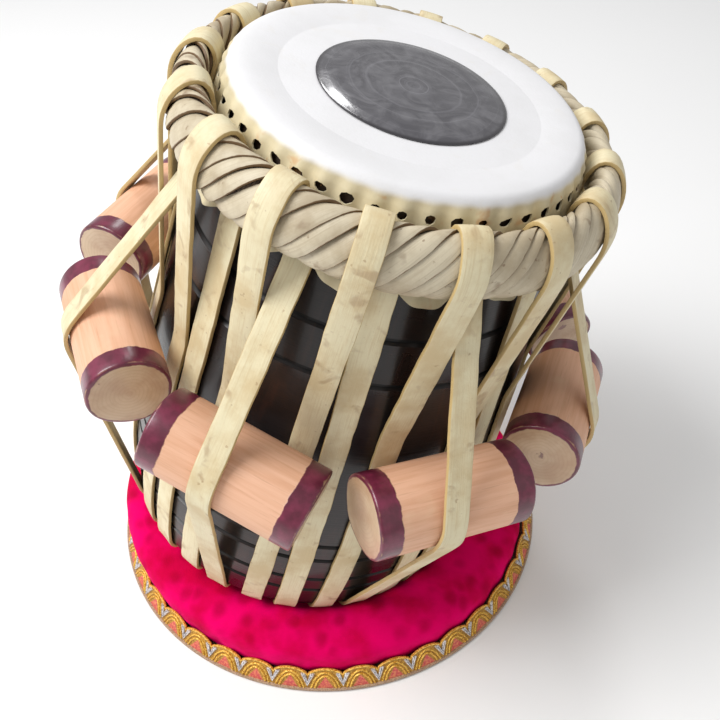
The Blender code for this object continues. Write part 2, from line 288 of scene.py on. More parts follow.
def speckle(tree, place, scale, detail=4.0, rough=0.55, bend=0.0):
    sockets = {"Vector": place, "Scale": scale, "Detail": detail, "Roughness": rough, "Distortion": bend}
    return put(tree, "ShaderNodeTexNoise", sockets).outputs["Fac"]


def stretched(tree, place, scale):
    return put(tree, "ShaderNodeMapping", {"Vector": place, "Scale": scale}).outputs["Vector"]


def from_z_axis(tree, place):
    """How far a place is from the Z axis."""
    level = stretched(tree, place, (1, 1, 0))
    return put(tree, "ShaderNodeVectorMath", {0: level}, operation="LENGTH").outputs["Value"]


def axes_of(tree, vector):
    """The outputs for a vector's X, Y and Z."""
    return put(tree, "ShaderNodeSeparateXYZ", {"Vector": vector}).outputs


def object_place(tree):
    return put(tree, "ShaderNodeTexCoord").outputs["Object"]


def drum_place(tree):
    """Object coordinates turned upright with the drum, its base at zero."""
    sockets = {"Vector": object_place(tree), "Location": base, "Rotation": upright_to_axis.to_euler()}
    return put(tree, "ShaderNodeMapping", sockets, vector_type="TEXTURE").outputs["Vector"]


def kept(tree, name, output):
    """What note() kept with each point."""
    return put(tree, "ShaderNodeAttribute", attribute_name=name).outputs[output]


def raised(tree, shader, height, depth, strength=1.0):
    bump = put(tree, "ShaderNodeBump", {"Height": height, "Strength": strength, "Distance": depth})
    tree.links.new(bump.outputs["Normal"], shader.inputs["Normal"])


lacquer, tree, shader = surface("lacquered_wood")
place = drum_place(tree)
streaks = speckle(tree, stretched(tree, place, (90, 90, 14)), 1.0, 5, 0.6, 1.2)
blooms = speckle(tree, place, 28, 3)
turning_marks = speckle(tree, stretched(tree, place, (3, 3, 1500)), 1.0, 2)
colour = mixed(tree, between(tree, streaks, 0.45, 0.75), (0.011, 0.008, 0.0078, 1), (0.034, 0.014, 0.010, 1))
colour = mixed(tree, between(tree, blooms, 0.45, 0.8), colour, (0.022, 0.018, 0.019, 1))
# The cut rings are painted near-black: painted shade in the grooves.
colour = mixed(tree, kept(tree, "groove", "Fac"), colour, (0.0015, 0.0012, 0.0012, 1))
gloss = calc(tree, "MULTIPLY_ADD", blooms, 0.28, 0.16)
gloss = calc(tree, "ADD", gloss, calc(tree, "MULTIPLY", kept(tree, "groove", "Fac"), 0.35))
feed(tree, shader, {"Base Color": colour, "Roughness": gloss})
fix(shader, {"Specular IOR Level": 0.35, "Coat Weight": 0.15, "Coat Roughness": 0.1})
raised(tree, shader, calc(tree, "ADD", turning_marks, calc(tree, "MULTIPLY", streaks, 0.5)), 0.00008)
shell.data.materials.append(lacquer)


# Skins: a thin inner goat skin, a second skin whose middle is cut away, and a ring of skin between them on the rim.
# They are drawn over the rim while wet, and the plait of the collar goes through slots cut in their turned-down side.
GAP = 0.0003
SKIN = 0.0008
SKIN_BEND = 0.0035
RIM_SKIN_THICKNESS = 0.0008
RIM_SKIN_INNER_RADIUS = 0.0520
RIM_SKIN_TOP = SHELL_HEIGHT + 3 * GAP + 2 * SKIN
RIM_SKIN_SIDE = 0.0017
SKIRT_BOTTOM = 0.2235
SLOT_COUNT = 48
SLOT_HEIGHT = 0.2488
SLOT_RADII = (0.0025, 0.0023)
PUCKER = 0.0014
HEM_DROP = 0.0058
HEM_FLARE = 0.0048
HEM_TOP = 0.2400
HEM_TIES = 16
HEM_TIED_AT = math.radians(244.6)
CUT_THICKNESS = RIM_SKIN_THICKNESS * 0.75
PUNCH_LENGTH = 0.0075
PUNCH_REACH = 0.0045


def group(name, inputs, outputs):
    """An empty node group with named sockets, and its input and output nodes."""
    made = bpy.data.node_groups.new(name, "ShaderNodeTree")
    for label, kind, value in inputs:
        socket = made.interface.new_socket(label, in_out="INPUT", socket_type=kind)
        if value is not None:
            socket.default_value = value
    for label, kind in outputs:
        made.interface.new_socket(label, in_out="OUTPUT", socket_type=kind)
    return made, made.nodes.new("NodeGroupInput").outputs, made.nodes.new("NodeGroupOutput").inputs


def hide_group():
    """Rawhide: soft mottling, blotted stains, small specks, and a height for its grain."""
    colour, number = "NodeSocketColor", "NodeSocketFloat"
    given = [
        ("Vector", "NodeSocketVector", None), ("Colour", colour, (0.8, 0.7, 0.5, 1)),
        ("Shade", colour, (0.6, 0.5, 0.3, 1)), ("Stain", colour, (0.3, 0.15, 0.06, 1)), ("Stain Amount", number, 0.5),
    ]
    made, inputs, outputs = group("hide", given, [("Colour", colour), ("Height", number)])
    place = inputs["Vector"]
    soft = speckle(made, place, 42, 5, 0.62)
    blots = speckle(made, place, 95, 3, 0.5, 0.6)
    grain = speckle(made, place, 900, 3, 0.6)
    specks = speckle(made, place, 420, 2, 0.4)
    look = mixed(made, between(made, soft, 0.38, 0.66), inputs["Colour"], inputs["Shade"])
    stained = between(made, blots, 0.59, 0.72, inputs["Stain Amount"])
    look = mixed(made, stained, look, inputs["Stain"])
    dotted = between(made, specks, 0.70, 0.78, inputs["Stain Amount"])
    look = mixed(made, dotted, look, inputs["Stain"])
    made.links.new(look, outputs["Colour"])
    made.links.new(calc(made, "MULTIPLY_ADD", grain, 0.5, calc(made, "MULTIPLY", soft, 0.5)), outputs["Height"])
    return made


HIDE = hide_group()


def hide(tree, place, colour, shade, stain, amount):
    """The colour and the grain height of a piece of hide, from the shared group."""
    sockets = {"Vector": place, "Colour": colour, "Shade": shade, "Stain": stain, "Stain Amount": amount}
    made = put(tree, "ShaderNodeGroup", sockets, node_tree=HIDE)
    return made.outputs["Colour"], made.outputs["Height"]


def skin_finish(name, side_colour):
    """Pale scraped skin on top, turning to another colour where it goes down the side of the drum."""
    made, tree, shader = surface(name)
    place = drum_place(tree)
    level = axes_of(tree, place)["Z"]
    wander = calc(tree, "MULTIPLY_ADD", speckle(tree, place, 70, 3), 0.0016, -0.0008)
    turned_down = between(tree, calc(tree, "ADD", level, wander), SHELL_HEIGHT + 0.0018, SHELL_HEIGHT - 0.0008)
    top, height = hide(tree, place, (0.79, 0.785, 0.80, 1), (0.76, 0.755, 0.765, 1), (0.73, 0.69, 0.62, 1), 0.15)
    side_shade = (*(0.8 * share for share in side_colour[:3]), 1)
    lower, _ = hide(tree, place, side_colour, side_shade, (0.56, 0.27, 0.09, 1), 0.55)
    feed(tree, shader, {"Base Color": mixed(tree, turned_down, top, lower)})
    fix(shader, {"Roughness": 0.5})
    raised(tree, shader, height, 0.00012)
    return made


corner = (RIM_RADIUS - SKIN_BEND + RIM_SKIN_SIDE, RIM_SKIN_TOP - SKIN_BEND)
bend = SKIN_BEND + RIM_SKIN_THICKNESS
feathered = ((0.0, -0.0005), (0.0040, 0.0), (0.0085, 0.0005), (0.0130, RIM_SKIN_THICKNESS))
profile = [(RIM_SKIN_INNER_RADIUS + out, RIM_SKIN_TOP + rise) for out, rise in feathered]
profile += arc(corner, (bend, bend), 90, 0, 8)
for height in np.linspace(RIM_SKIN_TOP - SKIN_BEND, SKIRT_BOTTOM, 26)[1:]:
    profile.append((shell_radius(height) + RIM_SKIN_SIDE + RIM_SKIN_THICKNESS, height))
rim_skin = turned("rim_skin_slotted", profile, 480)
bpy.ops.mesh.select_all(action="SELECT")
bpy.ops.mesh.normals_make_consistent(inside=False)
bpy.ops.object.mode_set(mode="OBJECT")
points = points_of(rim_skin)
azimuth = np.arctan2(points[:, 1], points[:, 0])
lobes = 0.5 - 0.5 * np.cos(SLOT_COUNT * azimuth)
drop = np.clip((SHELL_HEIGHT + 0.0015 - points[:, 2]) / 0.004, 0, 1)
swell = 1 + PUCKER * lobes * drop / np.hypot(points[:, 0], points[:, 1])
low_share = np.clip((HEM_TOP - points[:, 2]) / (HEM_TOP - SKIRT_BOTTOM), 0, 1)
between_straps = 0.5 - 0.5 * np.cos(HEM_TIES * (azimuth - HEM_TIED_AT))
loose = (0.25 + 0.75 * between_straps) * (1 + 0.18 * np.sin(7 * azimuth + 0.4))
swell += HEM_FLARE * loose * low_share**2 / RIM_RADIUS
points[:, :2] *= swell[:, None]
points[:, 2] -= low_share * HEM_DROP * loose
put_points(rim_skin, points)
reshape(rim_skin, "SOLIDIFY", thickness=CUT_THICKNESS, offset=-1)

bpy.ops.object.select_all(action="DESELECT")
bpy.ops.mesh.primitive_cylinder_add(vertices=8, radius=1.0, depth=PUNCH_LENGTH, rotation=(0, math.pi / 2, 0))
punch = bpy.context.object
bpy.ops.object.transform_apply()
punch.scale = (1, *SLOT_RADII)
bpy.ops.object.transform_apply()
punches = []
random.seed(11)
for number in range(SLOT_COUNT):
    copy = linked(f"punch_{number}", punch.data.copy())
    turn = Matrix.Rotation(math.tau * (number + 0.5) / SLOT_COUNT, 4, "Z")
    twist = Matrix.Rotation(math.radians(random.uniform(-20, 35)), 4, "X")
    size = Matrix.Diagonal((1, random.uniform(0.7, 1.15), random.uniform(0.65, 1.1), 1))
    out = Matrix.Translation((RIM_RADIUS + PUNCH_REACH, 0, SLOT_HEIGHT + random.uniform(-0.0003, 0.0004)))
    copy.data.transform(turn @ out @ twist @ size)
    punches.append(copy)
pick(*punches)
bpy.ops.object.join()
pick(rim_skin)
reshape(rim_skin, "BOOLEAN", operation="DIFFERENCE", object=punches[0])
bpy.data.objects.remove(punches[0])
bpy.data.objects.remove(punch)
smooth(rim_skin, 50)
lean(rim_skin)
rim_skin.data.materials.clear()
rim_skin.data.materials.append(skin_finish("rim_skin", (0.70, 0.61, 0.40, 1)))
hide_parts("rim_skin")
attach(rim_skin, "drum")

# Under the rim skin the playing skin and the lining turn a near-black brown down the side: partly dirt, partly painted
# shade.
head_finish = skin_finish("playing_skin", (0.035, 0.02, 0.012, 1))
for name in ("playing_skin", "inner_lining"):
    frame["nodes"][name].material_slots[0].material = head_finish


# Tuning paste: iron dust and flour, rubbed on in thin rounds, each a little smaller than the one below, and
# polished with a stone, which leaves low steps and a fine crazing.
PASTE_RADIUS = 0.0389
PASTE_RISE = 0.0016
PASTE_SHOULDER_RISE = 0.00136
PASTE_STEPS = 6
FIRST_STEP_INWARD = 0.0072
STEP_WIDTH = 0.0042

level = SHELL_HEIGHT + 3 * GAP + 2 * SKIN
profile = [(PASTE_RADIUS, level), (PASTE_RADIUS + 0.0001, level + 0.0002), (PASTE_RADIUS - 0.0003, level + 0.0004)]
shoulder = ((0.0012, 0.00055), (0.0022, 0.00072), (0.0032, 0.00092), (0.0042, 0.00112), (0.0052, 0.00126))
profile += [(PASTE_RADIUS - inward, level + rise) for inward, rise in shoulder]
for step in range(PASTE_STEPS):
    outer = PASTE_RADIUS - FIRST_STEP_INWARD - step * STEP_WIDTH
    doming = (PASTE_RISE - PASTE_SHOULDER_RISE) * (1 - (outer / PASTE_RADIUS) ** 2)
    height = level + PASTE_SHOULDER_RISE + doming
    profile += [(outer + 0.0006, height - 0.00005), (outer, height + 0.00003), (outer - 0.0018, height + 0.00004)]
profile += [(0.0030, level + PASTE_RISE), (0.0, level + PASTE_RISE)]
paste = turned("tuning_paste_disc", profile, 160)
smooth(paste, 60)
lean(paste)
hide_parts("tuning_paste")
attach(paste, "drum")

finish, tree, shader = surface("tuning_paste")
place = drum_place(tree)
flat = stretched(tree, place, (1, 1, 0.1))
reach = from_z_axis(tree, place)
wobble = calc(tree, "MULTIPLY_ADD", speckle(tree, flat, 60, 2), 0.0035, reach)
swirl = put(tree, "ShaderNodeCombineXYZ", {"X": calc(tree, "MULTIPLY", wobble, 420), "Y": 0.5, "Z": 0.5}).outputs[0]
rings = speckle(tree, swirl, 1.0, 3, 0.7)
clouds = speckle(tree, flat, 75, 5, 0.6, 1.5)
colour = mixed(tree, between(tree, clouds, 0.35, 0.7), (0.065, 0.062, 0.072, 1), (0.135, 0.131, 0.144, 1))
colour = mixed(tree, between(tree, rings, 0.50, 0.72, 0.5), colour, (0.26, 0.255, 0.28, 1))
edge = between(tree, reach, PASTE_RADIUS - 0.0022, PASTE_RADIUS - 0.0004)
colour = mixed(tree, edge, colour, (0.030, 0.027, 0.033, 1))
feed(tree, shader, {"Base Color": colour, "Roughness": calc(tree, "MULTIPLY_ADD", clouds, 0.25, 0.10)})
fix(shader, {"Coat Weight": 0.7, "Coat Roughness": 0.08})
raised(tree, shader, calc(tree, "ADD", calc(tree, "MULTIPLY", rings, 0.6), clouds), 0.00014)
paste.data.materials.append(finish)


# Collar: flat rawhide strips, plaited round and round the head through the slots, so that they lie slantwise over
# each other like tiles. What shows between them is a near-black core, painted shade for the depth of the plait.
COLLAR_RADIUS = 0.0868
COLLAR_HEIGHT = 0.2400
COLLAR_HALF_WIDTH = 0.0075
COLLAR_HALF_HEIGHT = 0.0125
COLLAR_LEAN = -0.22
STRIP_COUNT = 64
STRIP_WIDTH = 0.0102
STRIP_THICKNESS = 0.0013
STRIP_ADVANCE = math.radians(36)
STRIP_FIRST, STRIP_LAST = -130, 215
STRIP_ROWS = 30
STRIP_TUCK = 0.62
STRIP_SLANT = 0.78
SECTION_RADIUS = 0.0105
CORE_DEPTH = 0.0027
PLAIT_RIBS = 400
WELD_REACH = 0.00002


def on_collar(angle, spare):
    """The (radius, height) on the collar's leaning oval section, or outside it by a spare distance."""
    radius = COLLAR_RADIUS + (COLLAR_HALF_WIDTH + spare) * math.cos(angle)
    height = (COLLAR_HALF_HEIGHT + spare) * math.sin(angle)
    return radius + COLLAR_LEAN * height, COLLAR_HEIGHT + height


def unit(vectors):
    return vectors / np.linalg.norm(vectors, axis=-1, keepdims=True)


def laid(name, rows, lay):
    """A strip: a flat grid whose crosswise lines of points are laid where the rows say."""
    count, across = rows.shape[:2]
    bpy.ops.object.select_all(action="DESELECT")
    bpy.ops.mesh.primitive_grid_add(x_subdivisions=count - 1, y_subdivisions=across - 1, size=1)
    strip = bpy.context.object
    strip.name = strip.data.name = name
    spot = np.rint((points_of(strip)[:, :2] + 0.5) * (count - 1, across - 1)).astype(int)
    put_points(strip, rows[spot[:, 0], spot[:, 1]])
    note(strip, "lay", lay[spot[:, 0], spot[:, 1]])
    return strip


def weld():
    """Merges the points of the active piece that lie on each other."""
    bpy.ops.object.mode_set(mode="EDIT")
    bpy.ops.mesh.select_all(action="SELECT")
    bpy.ops.mesh.remove_doubles(threshold=WELD_REACH)
    bpy.ops.object.mode_set(mode="OBJECT")


def thickened(strip, thickness, rounding, closed=False):
    """Gives a strip its thickness and takes the sharpness off its cut edges."""
    if closed:
        weld()
    reshape(strip, "SOLIDIFY", thickness=thickness, offset=0.0)
    reshape(strip, "BEVEL", width=rounding, segments=2, limit_method="ANGLE", angle_limit=math.radians(50))
    smooth(strip, 55)


def join(name, pieces):
    pick(*pieces)
    bpy.ops.object.join()
    pieces[0].name = pieces[0].data.name = name
    return pieces[0]


def strip_rows(start, width, seed):
    """One collar strip: it climbs slantwise over the oval, arched across, one edge tucked under its neighbour."""
    turns = np.radians(np.linspace(STRIP_FIRST, STRIP_LAST, STRIP_ROWS))
    across = np.linspace(-1, 1, 5)
    rows, lay = np.zeros((STRIP_ROWS, 5, 3)), np.zeros((STRIP_ROWS, 5, 3))
    for row, turn in enumerate(turns):
        for column, share in enumerate(across):
            wave = 0.05 * math.sin(3.1 * turn + seed)
            slant = start + STRIP_ADVANCE * turn / (math.tau)
            sideways = share * width / 2 * (1 + wave)
            tucked = turn - STRIP_TUCK * sideways / SECTION_RADIUS
            lift = -0.0024 + 0.0014 * share + 0.0009 * (1 - share**2) + 0.0003 * math.sin(2 * turn + 2 * seed)
            radius, height = on_collar(tucked, lift)
            azimuth = slant + STRIP_SLANT * sideways / COLLAR_RADIUS
            rows[row, column] = radius * math.cos(azimuth), radius * math.sin(azimuth), height
            lay[row, column] = SECTION_RADIUS * turn + seed, share, seed
    return rows, lay


random.seed(5)
strips = []
for number in range(STRIP_COUNT):
    start = math.tau * (number + random.uniform(-0.14, 0.14)) / STRIP_COUNT
    width = STRIP_WIDTH * random.choice((1.05, 0.98, 0.90, 0.80, 0.68, 0.54))
    strip = laid(f"collar_strip_{number}", *strip_rows(start, width, 0.37 * number))
    thickened(strip, STRIP_THICKNESS, 0.0003)
    strips.append(strip)
collar = join("collar_plait", strips)

core_section = [on_collar(angle, -CORE_DEPTH) for angle in np.radians(np.linspace(0, -345, 24))]
core = turned("collar_core", core_section, 128)
close_ring()
smooth(core, 80)


def leather(name, colour, shade, stain, amount, edge_colour, edge_from):
    """Rawhide strip: mottled face, fibres along it and darker cut edges, on the collar dark enough to be painted shade
    in the seams as well. It reads the lay: along, across, number.
    """
    made, tree, shader = surface(name)
    lay = kept(tree, "lay", "Vector")
    across = calc(tree, "ABSOLUTE", axes_of(tree, lay)["Y"])
    place = object_place(tree)
    face, height = hide(tree, place, colour, shade, stain, amount)
    fibres = speckle(tree, stretched(tree, lay, (60, 9, 3)), 1.0, 3)
    face = mixed(tree, between(tree, fibres, 0.47, 0.72, 0.55), face, shade)
    ragged = calc(tree, "MULTIPLY_ADD", speckle(tree, place, 260, 3), 0.16, across)
    edge = between(tree, ragged, edge_from, edge_from + 0.07)
    edge = calc(tree, "MAXIMUM", edge, between(tree, across, 0.96, 1.0))
    look = mixed(tree, edge, face, edge_colour)
    feed(tree, shader, {"Base Color": look, "Roughness": calc(tree, "MULTIPLY_ADD", height, 0.25, 0.42)})
    raised(tree, shader, calc(tree, "ADD", height, calc(tree, "MULTIPLY", fibres, 0.5)), 0.0002)
    return made


# On the collar the cut edges are near-black: partly the edge's own colour, partly painted shade in the seams where one
# strip tucks under the next.
plait_leather = leather(
    "collar_leather", (0.62, 0.545, 0.40, 1), (0.44, 0.36, 0.24, 1), (0.22, 0.14, 0.08, 1), 0.7,
    (0.15, 0.085, 0.035, 1), 1.0,
)
collar.data.materials.append(plait_leather)
# The core is near-black, with lighter ribs: painted shade for the depth of the plait between the strips.
dark_hide, tree, shader = surface("plait_inside")
place = drum_place(tree)
around = put(tree, "ShaderNodeTexGradient", {"Vector": place}, gradient_type="RADIAL").outputs["Fac"]
ribs = calc(tree, "SINE", calc(tree, "MULTIPLY", around, math.tau * PLAIT_RIBS))
colour, height = hide(tree, place, (0.055, 0.028, 0.016, 1), (0.02, 0.01, 0.006, 1), (0.20, 0.15, 0.10, 1), 0.5)
colour = mixed(tree, between(tree, ribs, 0.1, 0.9, 0.4), colour, (0.16, 0.10, 0.06, 1))
feed(tree, shader, {"Base Color": colour})
fix(shader, {"Roughness": 0.7})
raised(tree, shader, ribs, 0.0004)
core.data.materials.append(dark_hide)
for piece in (collar, core):
    lean(piece)
    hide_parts("braided_collar")
    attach(piece, "drum")
frame["nodes"]["bottom_ring"].material_slots[0].material = dark_hide


# Lacing: one long flat rawhide strap. Each pass goes up the outside, over the collar, down behind it, out below it,
# down the shell and round the ring under the base. Every second pass is lifted over a dowel on its way down.
LOOP_COUNT = 16
FIRST_LOOP = math.radians(238.0)
STRAP_WIDTH = 0.0112
STRAP_THICKNESS = 0.0018
STRAP_LIFT = 0.0005 + STRAP_THICKNESS / 2
CLEAR_OF_HEM = 0.0040
BOTTOM_RING_RADIUS = 0.0620
BOTTOM_RING_THICKNESS = 0.0036
BOTTOM_RING_HEIGHT = -RING_DROP
RING_WRAP = BOTTOM_RING_THICKNESS + GAP + STRAP_LIFT
OUTER_RUN_TURN = math.radians(-4.0)
EMERGING_TURN = math.radians(6.6)
INNER_RUN_TURN = math.radians(7.25)
DOWEL_RADIUS = 0.0182
DOWEL_DISTANCE = 0.1132
DOWEL_HEIGHT = 0.1340
DOWEL_STRAP_GAP = 0.0006
LIFTED_SPAN = 0.0400
PRESSED_HEIGHT = 0.1500
STRAP_STEP = 0.0026
STRAP_BOW = 0.00022
LOW_TOUCH = (DOWEL_DISTANCE + 0.0085, DOWEL_HEIGHT - 0.0230)
HIGH_TOUCH = (DOWEL_DISTANCE + 0.0160, DOWEL_HEIGHT + 0.0130)
HELD_HEIGHT = 0.03


def outset(points, distance):
    """The points of a profile that runs down its outer side, moved out square to it."""
    line = np.array(points)
    along = np.gradient(line, axis=0)
    outward = unit(np.stack([-along[:, 1], along[:, 0]], axis=1))
    return [tuple(point) for point in line + distance * outward]


def taut(points):
    """The points that a strap touches when it is pulled tight round the outside of these, first to last."""
    tight = []
    for point in points:
        while len(tight) > 1:
            (r0, h0), (r1, h1) = tight[-2], tight[-1]
            turn = (r1 - r0) * (point[1] - h0) - (h1 - h0) * (point[0] - r0)
            if turn < 0:
                break
            tight.pop()
        tight.append(point)
    return tight


def turning(points, first, last):
    """(radius, height, turn) points, each with its share of a turn by its distance along the run."""
    steps = np.linalg.norm(np.diff(np.array(points), axis=0), axis=1)
    share = np.concatenate([[0.0], np.cumsum(steps)]) / steps.sum()
    return [(radius, height, first + (last - first) * part) for (radius, height), part in zip(points, share)]


def strap_route(lifted):
    """One loop from under the base: up the outside, over and behind the collar, and down to the ring again."""
    plain_side = [(shell_radius(height), height) for height in np.linspace(SHELL_HEIGHT - RIM_ROUND, HEEL_HEIGHT, 40)]
    below = [point for point in outset(plain_side + heel, STRAP_LIFT) if point[1] < SKIRT_BOTTOM - CLEAR_OF_HEM]
    flat = (BOTTOM_RING_RADIUS, -STRAP_LIFT)
    behind = COLLAR_RADIUS - COLLAR_HALF_WIDTH - STRAP_LIFT
    emerging = (behind + COLLAR_LEAN * (SKIRT_BOTTOM - COLLAR_HEIGHT), SKIRT_BOTTOM)
    obstacles = [emerging] + below
    if lifted:
        reach = DOWEL_RADIUS + STRAP_LIFT + DOWEL_STRAP_GAP
        obstacles = [emerging] + [point for point in below if point[1] > DOWEL_HEIGHT + LIFTED_SPAN]
        obstacles += arc((DOWEL_DISTANCE, DOWEL_HEIGHT), (reach, reach), 65, -65, 25)
        obstacles += [point for point in below if point[1] < DOWEL_HEIGHT - LIFTED_SPAN]
    over = [on_collar(angle, STRAP_LIFT) for angle in np.radians(np.linspace(-50, 70, 24))]
    rising = [(BOTTOM_RING_RADIUS + 2.2 * RING_WRAP, -STRAP_LIFT)]
    pressed = [point for point in below if point[1] < PRESSED_HEIGHT]
    falling = taut(list(reversed(over)) + pressed[:1]) + taut(pressed + [flat])[1:]
    rising += list(reversed(falling))[1:]
    top = [on_collar(angle, STRAP_LIFT) for angle in np.radians(np.linspace(72, 165, 20))]
    route = turning(rising, OUTER_RUN_TURN, 0.0) + [(radius, height, 0.0) for radius, height in top]
    route.append((behind, COLLAR_HEIGHT, EMERGING_TURN / 2))
    route += turning(taut(obstacles + [flat]), EMERGING_TURN, INNER_RUN_TURN)
    round_ring = arc((BOTTOM_RING_RADIUS, BOTTOM_RING_HEIGHT), (RING_WRAP, RING_WRAP), 90, 360, 16)[1:]
    return route + turning(round_ring, INNER_RUN_TURN, OUTER_RUN_TURN), emerging


def strap_rows(route, azimuth, seed):
    """The route as evenly spaced crosswise lines, a little uneven in width, and what is kept with each point."""
    radius, height, turn = np.array(route + route[:1]).T
    line = np.stack([radius * np.cos(azimuth + turn), radius * np.sin(azimuth + turn), height], axis=1)
    run = np.concatenate([[0.0], np.cumsum(np.linalg.norm(np.diff(line, axis=0), axis=1))])
    marks = np.linspace(0, run[-1], round(run[-1] / STRAP_STEP) + 1)
    middle = np.stack([np.interp(marks, run, line[:, i]) for i in range(3)], axis=1)
    for _ in range(2):
        ring = middle[:-1]
        ring = 0.5 * ring + 0.25 * np.roll(ring, 1, axis=0) + 0.25 * np.roll(ring, -1, axis=0)
        middle = np.concatenate([ring, ring[:1]])
    ring = middle[:-1]
    along = unit(np.roll(ring, -1, axis=0) - np.roll(ring, 1, axis=0))
    along = np.concatenate([along, along[:1]])
    sideways = unit(np.stack([-middle[:, 1], middle[:, 0], 0 * middle[:, 0]], axis=1))
    sideways = unit(sideways - along * np.sum(sideways * along, axis=1, keepdims=True))
    outward = np.cross(sideways, along)
    length = marks[-1]
    rows, lay = np.zeros((len(marks), 5, 3)), np.zeros((len(marks), 5, 3))
    for i, mark in enumerate(marks):
        circle = math.tau * mark / length
        around = Vector((3.5 * math.cos(circle), 3.5 * math.sin(circle), seed))
        for j, share in enumerate((-1, -0.5, 0, 0.5, 1)):
            uneven = 0.07 * noise.noise(around) + 0.05 * noise.noise(4 * around + Vector((9 * (share > 0), 0, 0)))
            half = STRAP_WIDTH / 2 * (1 + uneven)
            rows[i, j] = middle[i] + sideways[i] * half * share - outward[i] * STRAP_BOW * share**2
            lay[i, j] = mark, share, seed
    return rows, lay, middle


strap_leather = leather(
    "lacing_leather", (0.76, 0.68, 0.455, 1), (0.63, 0.50, 0.285, 1), (0.33, 0.19, 0.09, 1), 0.5,
    (0.55, 0.40, 0.175, 1), 1.06,
)


def nearest(middle, azimuth, radius, height, turn):
    """The number of the point along a strap's middle that is nearest to a place beside it."""
    spot = np.array([radius * math.cos(azimuth + turn), radius * math.sin(azimuth + turn), height])
    return int(np.argmin(np.linalg.norm(middle - spot, axis=1)))


for number in range(LOOP_COUNT):
    lifted = number % 2 == 0
    azimuth = FIRST_LOOP + number * math.tau / LOOP_COUNT
    route, emerging = strap_route(lifted)
    rows, lay, middle = strap_rows(route, azimuth, 1.7 * number)
    node = f"strap_{number + 1:02d}"
    if not lifted:
        strap = laid(f"{node}_loop", rows, lay)
        thickened(strap, STRAP_THICKNESS, 0.0003, closed=True)
        lean(strap)
        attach(strap, "drum")
        made = [strap]
    else:
        dowel = f"dowel_{number // 2 + 1}"
        out = nearest(middle, azimuth, *emerging, EMERGING_TURN)
        low = nearest(middle, azimuth, *LOW_TOUCH, INNER_RUN_TURN - 0.004)
        high = nearest(middle, azimuth, *HIGH_TOUCH, EMERGING_TURN)
        foot = nearest(middle, azimuth, shell_radius(HELD_HEIGHT) + STRAP_LIFT, HELD_HEIGHT, INNER_RUN_TURN)
        stretches = {"back": (0, out), "over": (out, low), "down": (low, len(middle) - 1)}
        made = []
        for part, (first, last) in stretches.items():
            strap = laid(f"{node}_{part}", rows[first:last + 1], lay[first:last + 1])
            thickened(strap, STRAP_THICKNESS, 0.0003)
            lean(strap)
            made.append(strap)
        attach(made[0], "drum")
        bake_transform(made[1])
        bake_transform(made[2])
    for strap in made:
        strap.data.materials.append(strap_leather)
        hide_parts(node)


# Dowels: short cylinders of pale wood, cut by hand, their ends dipped in maroon paint. They are hammered in under
# every second strap, and knocked up or down to tune the head.
DOWEL_COUNT = 8
DOWEL_LENGTH = 0.0712
DOWEL_TURN = math.radians(9.0)
DOWEL_TILTS = (-4.0, 3.5, -3.0, 3.0, -2.5, 3.5, -3.5, 3.0)
DOWEL_ROUNDING = 0.0014
DOWEL_FACETS = 0.016
SAW_SLIP = 0.0013
BAND_WIDTH = 0.0094
BAND_EDGE = 0.0003

half = DOWEL_LENGTH / 2
rounded = arc((DOWEL_RADIUS - DOWEL_ROUNDING, half - DOWEL_ROUNDING), (DOWEL_ROUNDING, DOWEL_ROUNDING), 90, 0, 5)
end = [(0.0, half), (0.0075, half), (0.0125, half)] + rounded
lengths = np.linspace(half - DOWEL_ROUNDING, -half + DOWEL_ROUNDING, 22)[1:-1]
other_end = [(radius, -height) for radius, height in reversed(end)]
pattern = turned("dowel_pattern", end + [(DOWEL_RADIUS, height) for height in lengths] + other_end, 72)
smooth(pattern, 60)

paint, tree, shader = surface("dowel_wood")
own = kept(tree, "own", "Vector")
place = object_place(tree)
spread = {0: stretched(tree, place, (6, 6, 6)), 1: stretched(tree, own, (330, 330, 17))}
grain = speckle(tree, put(tree, "ShaderNodeVectorMath", spread).outputs[0], 1.0, 5, 0.6, 0.5)
fine = speckle(tree, stretched(tree, own, (1500, 1500, 60)), 1.0, 3)
wood = mixed(tree, between(tree, grain, 0.35, 0.7), (0.80, 0.465, 0.305, 1), (0.70, 0.375, 0.225, 1))
wood = mixed(tree, between(tree, fine, 0.58, 0.75, 0.3), wood, (0.44, 0.22, 0.11, 1))
pale_patches = between(tree, speckle(tree, place, 60, 3), 0.55, 0.75, 0.4)
wood = mixed(tree, pale_patches, wood, (0.80, 0.55, 0.36, 1))
toward_end = calc(tree, "ABSOLUTE", axes_of(tree, own)["Z"])
from_axis = from_z_axis(tree, own)
drips = calc(tree, "MULTIPLY_ADD", speckle(tree, place, 130, 4, 0.6), 0.0030, -0.0015)
painted_from = half - BAND_WIDTH
band = between(tree, calc(tree, "ADD", toward_end, drips), painted_from - BAND_EDGE, painted_from + BAND_EDGE)
end_face = between(tree, toward_end, half - 0.0007, half - 0.0003)
smears = between(tree, speckle(tree, place, 90, 4, 0.6), 0.66, 0.70, 0.7)
weathering = between(tree, speckle(tree, place, 70, 4), 0.35, 0.7)
cut_face = mixed(tree, weathering, (0.60, 0.44, 0.285, 1), (0.47, 0.30, 0.18, 1))
off_centre = calc(tree, "MULTIPLY_ADD", speckle(tree, place, 40, 2), 0.006, from_axis)
years = calc(tree, "SINE", calc(tree, "MULTIPLY", off_centre, 3600))
cut_face = mixed(tree, between(tree, years, 0.1, 0.9, 0.15), cut_face, (0.36, 0.20, 0.11, 1))
chips = calc(tree, "MULTIPLY_ADD", speckle(tree, place, 210, 3), 0.0034, toward_end)
worn = between(tree, chips, half + 0.0009, half + 0.0017, 0.8)
brushed = between(tree, speckle(tree, place, 150, 4), 0.35, 0.7)
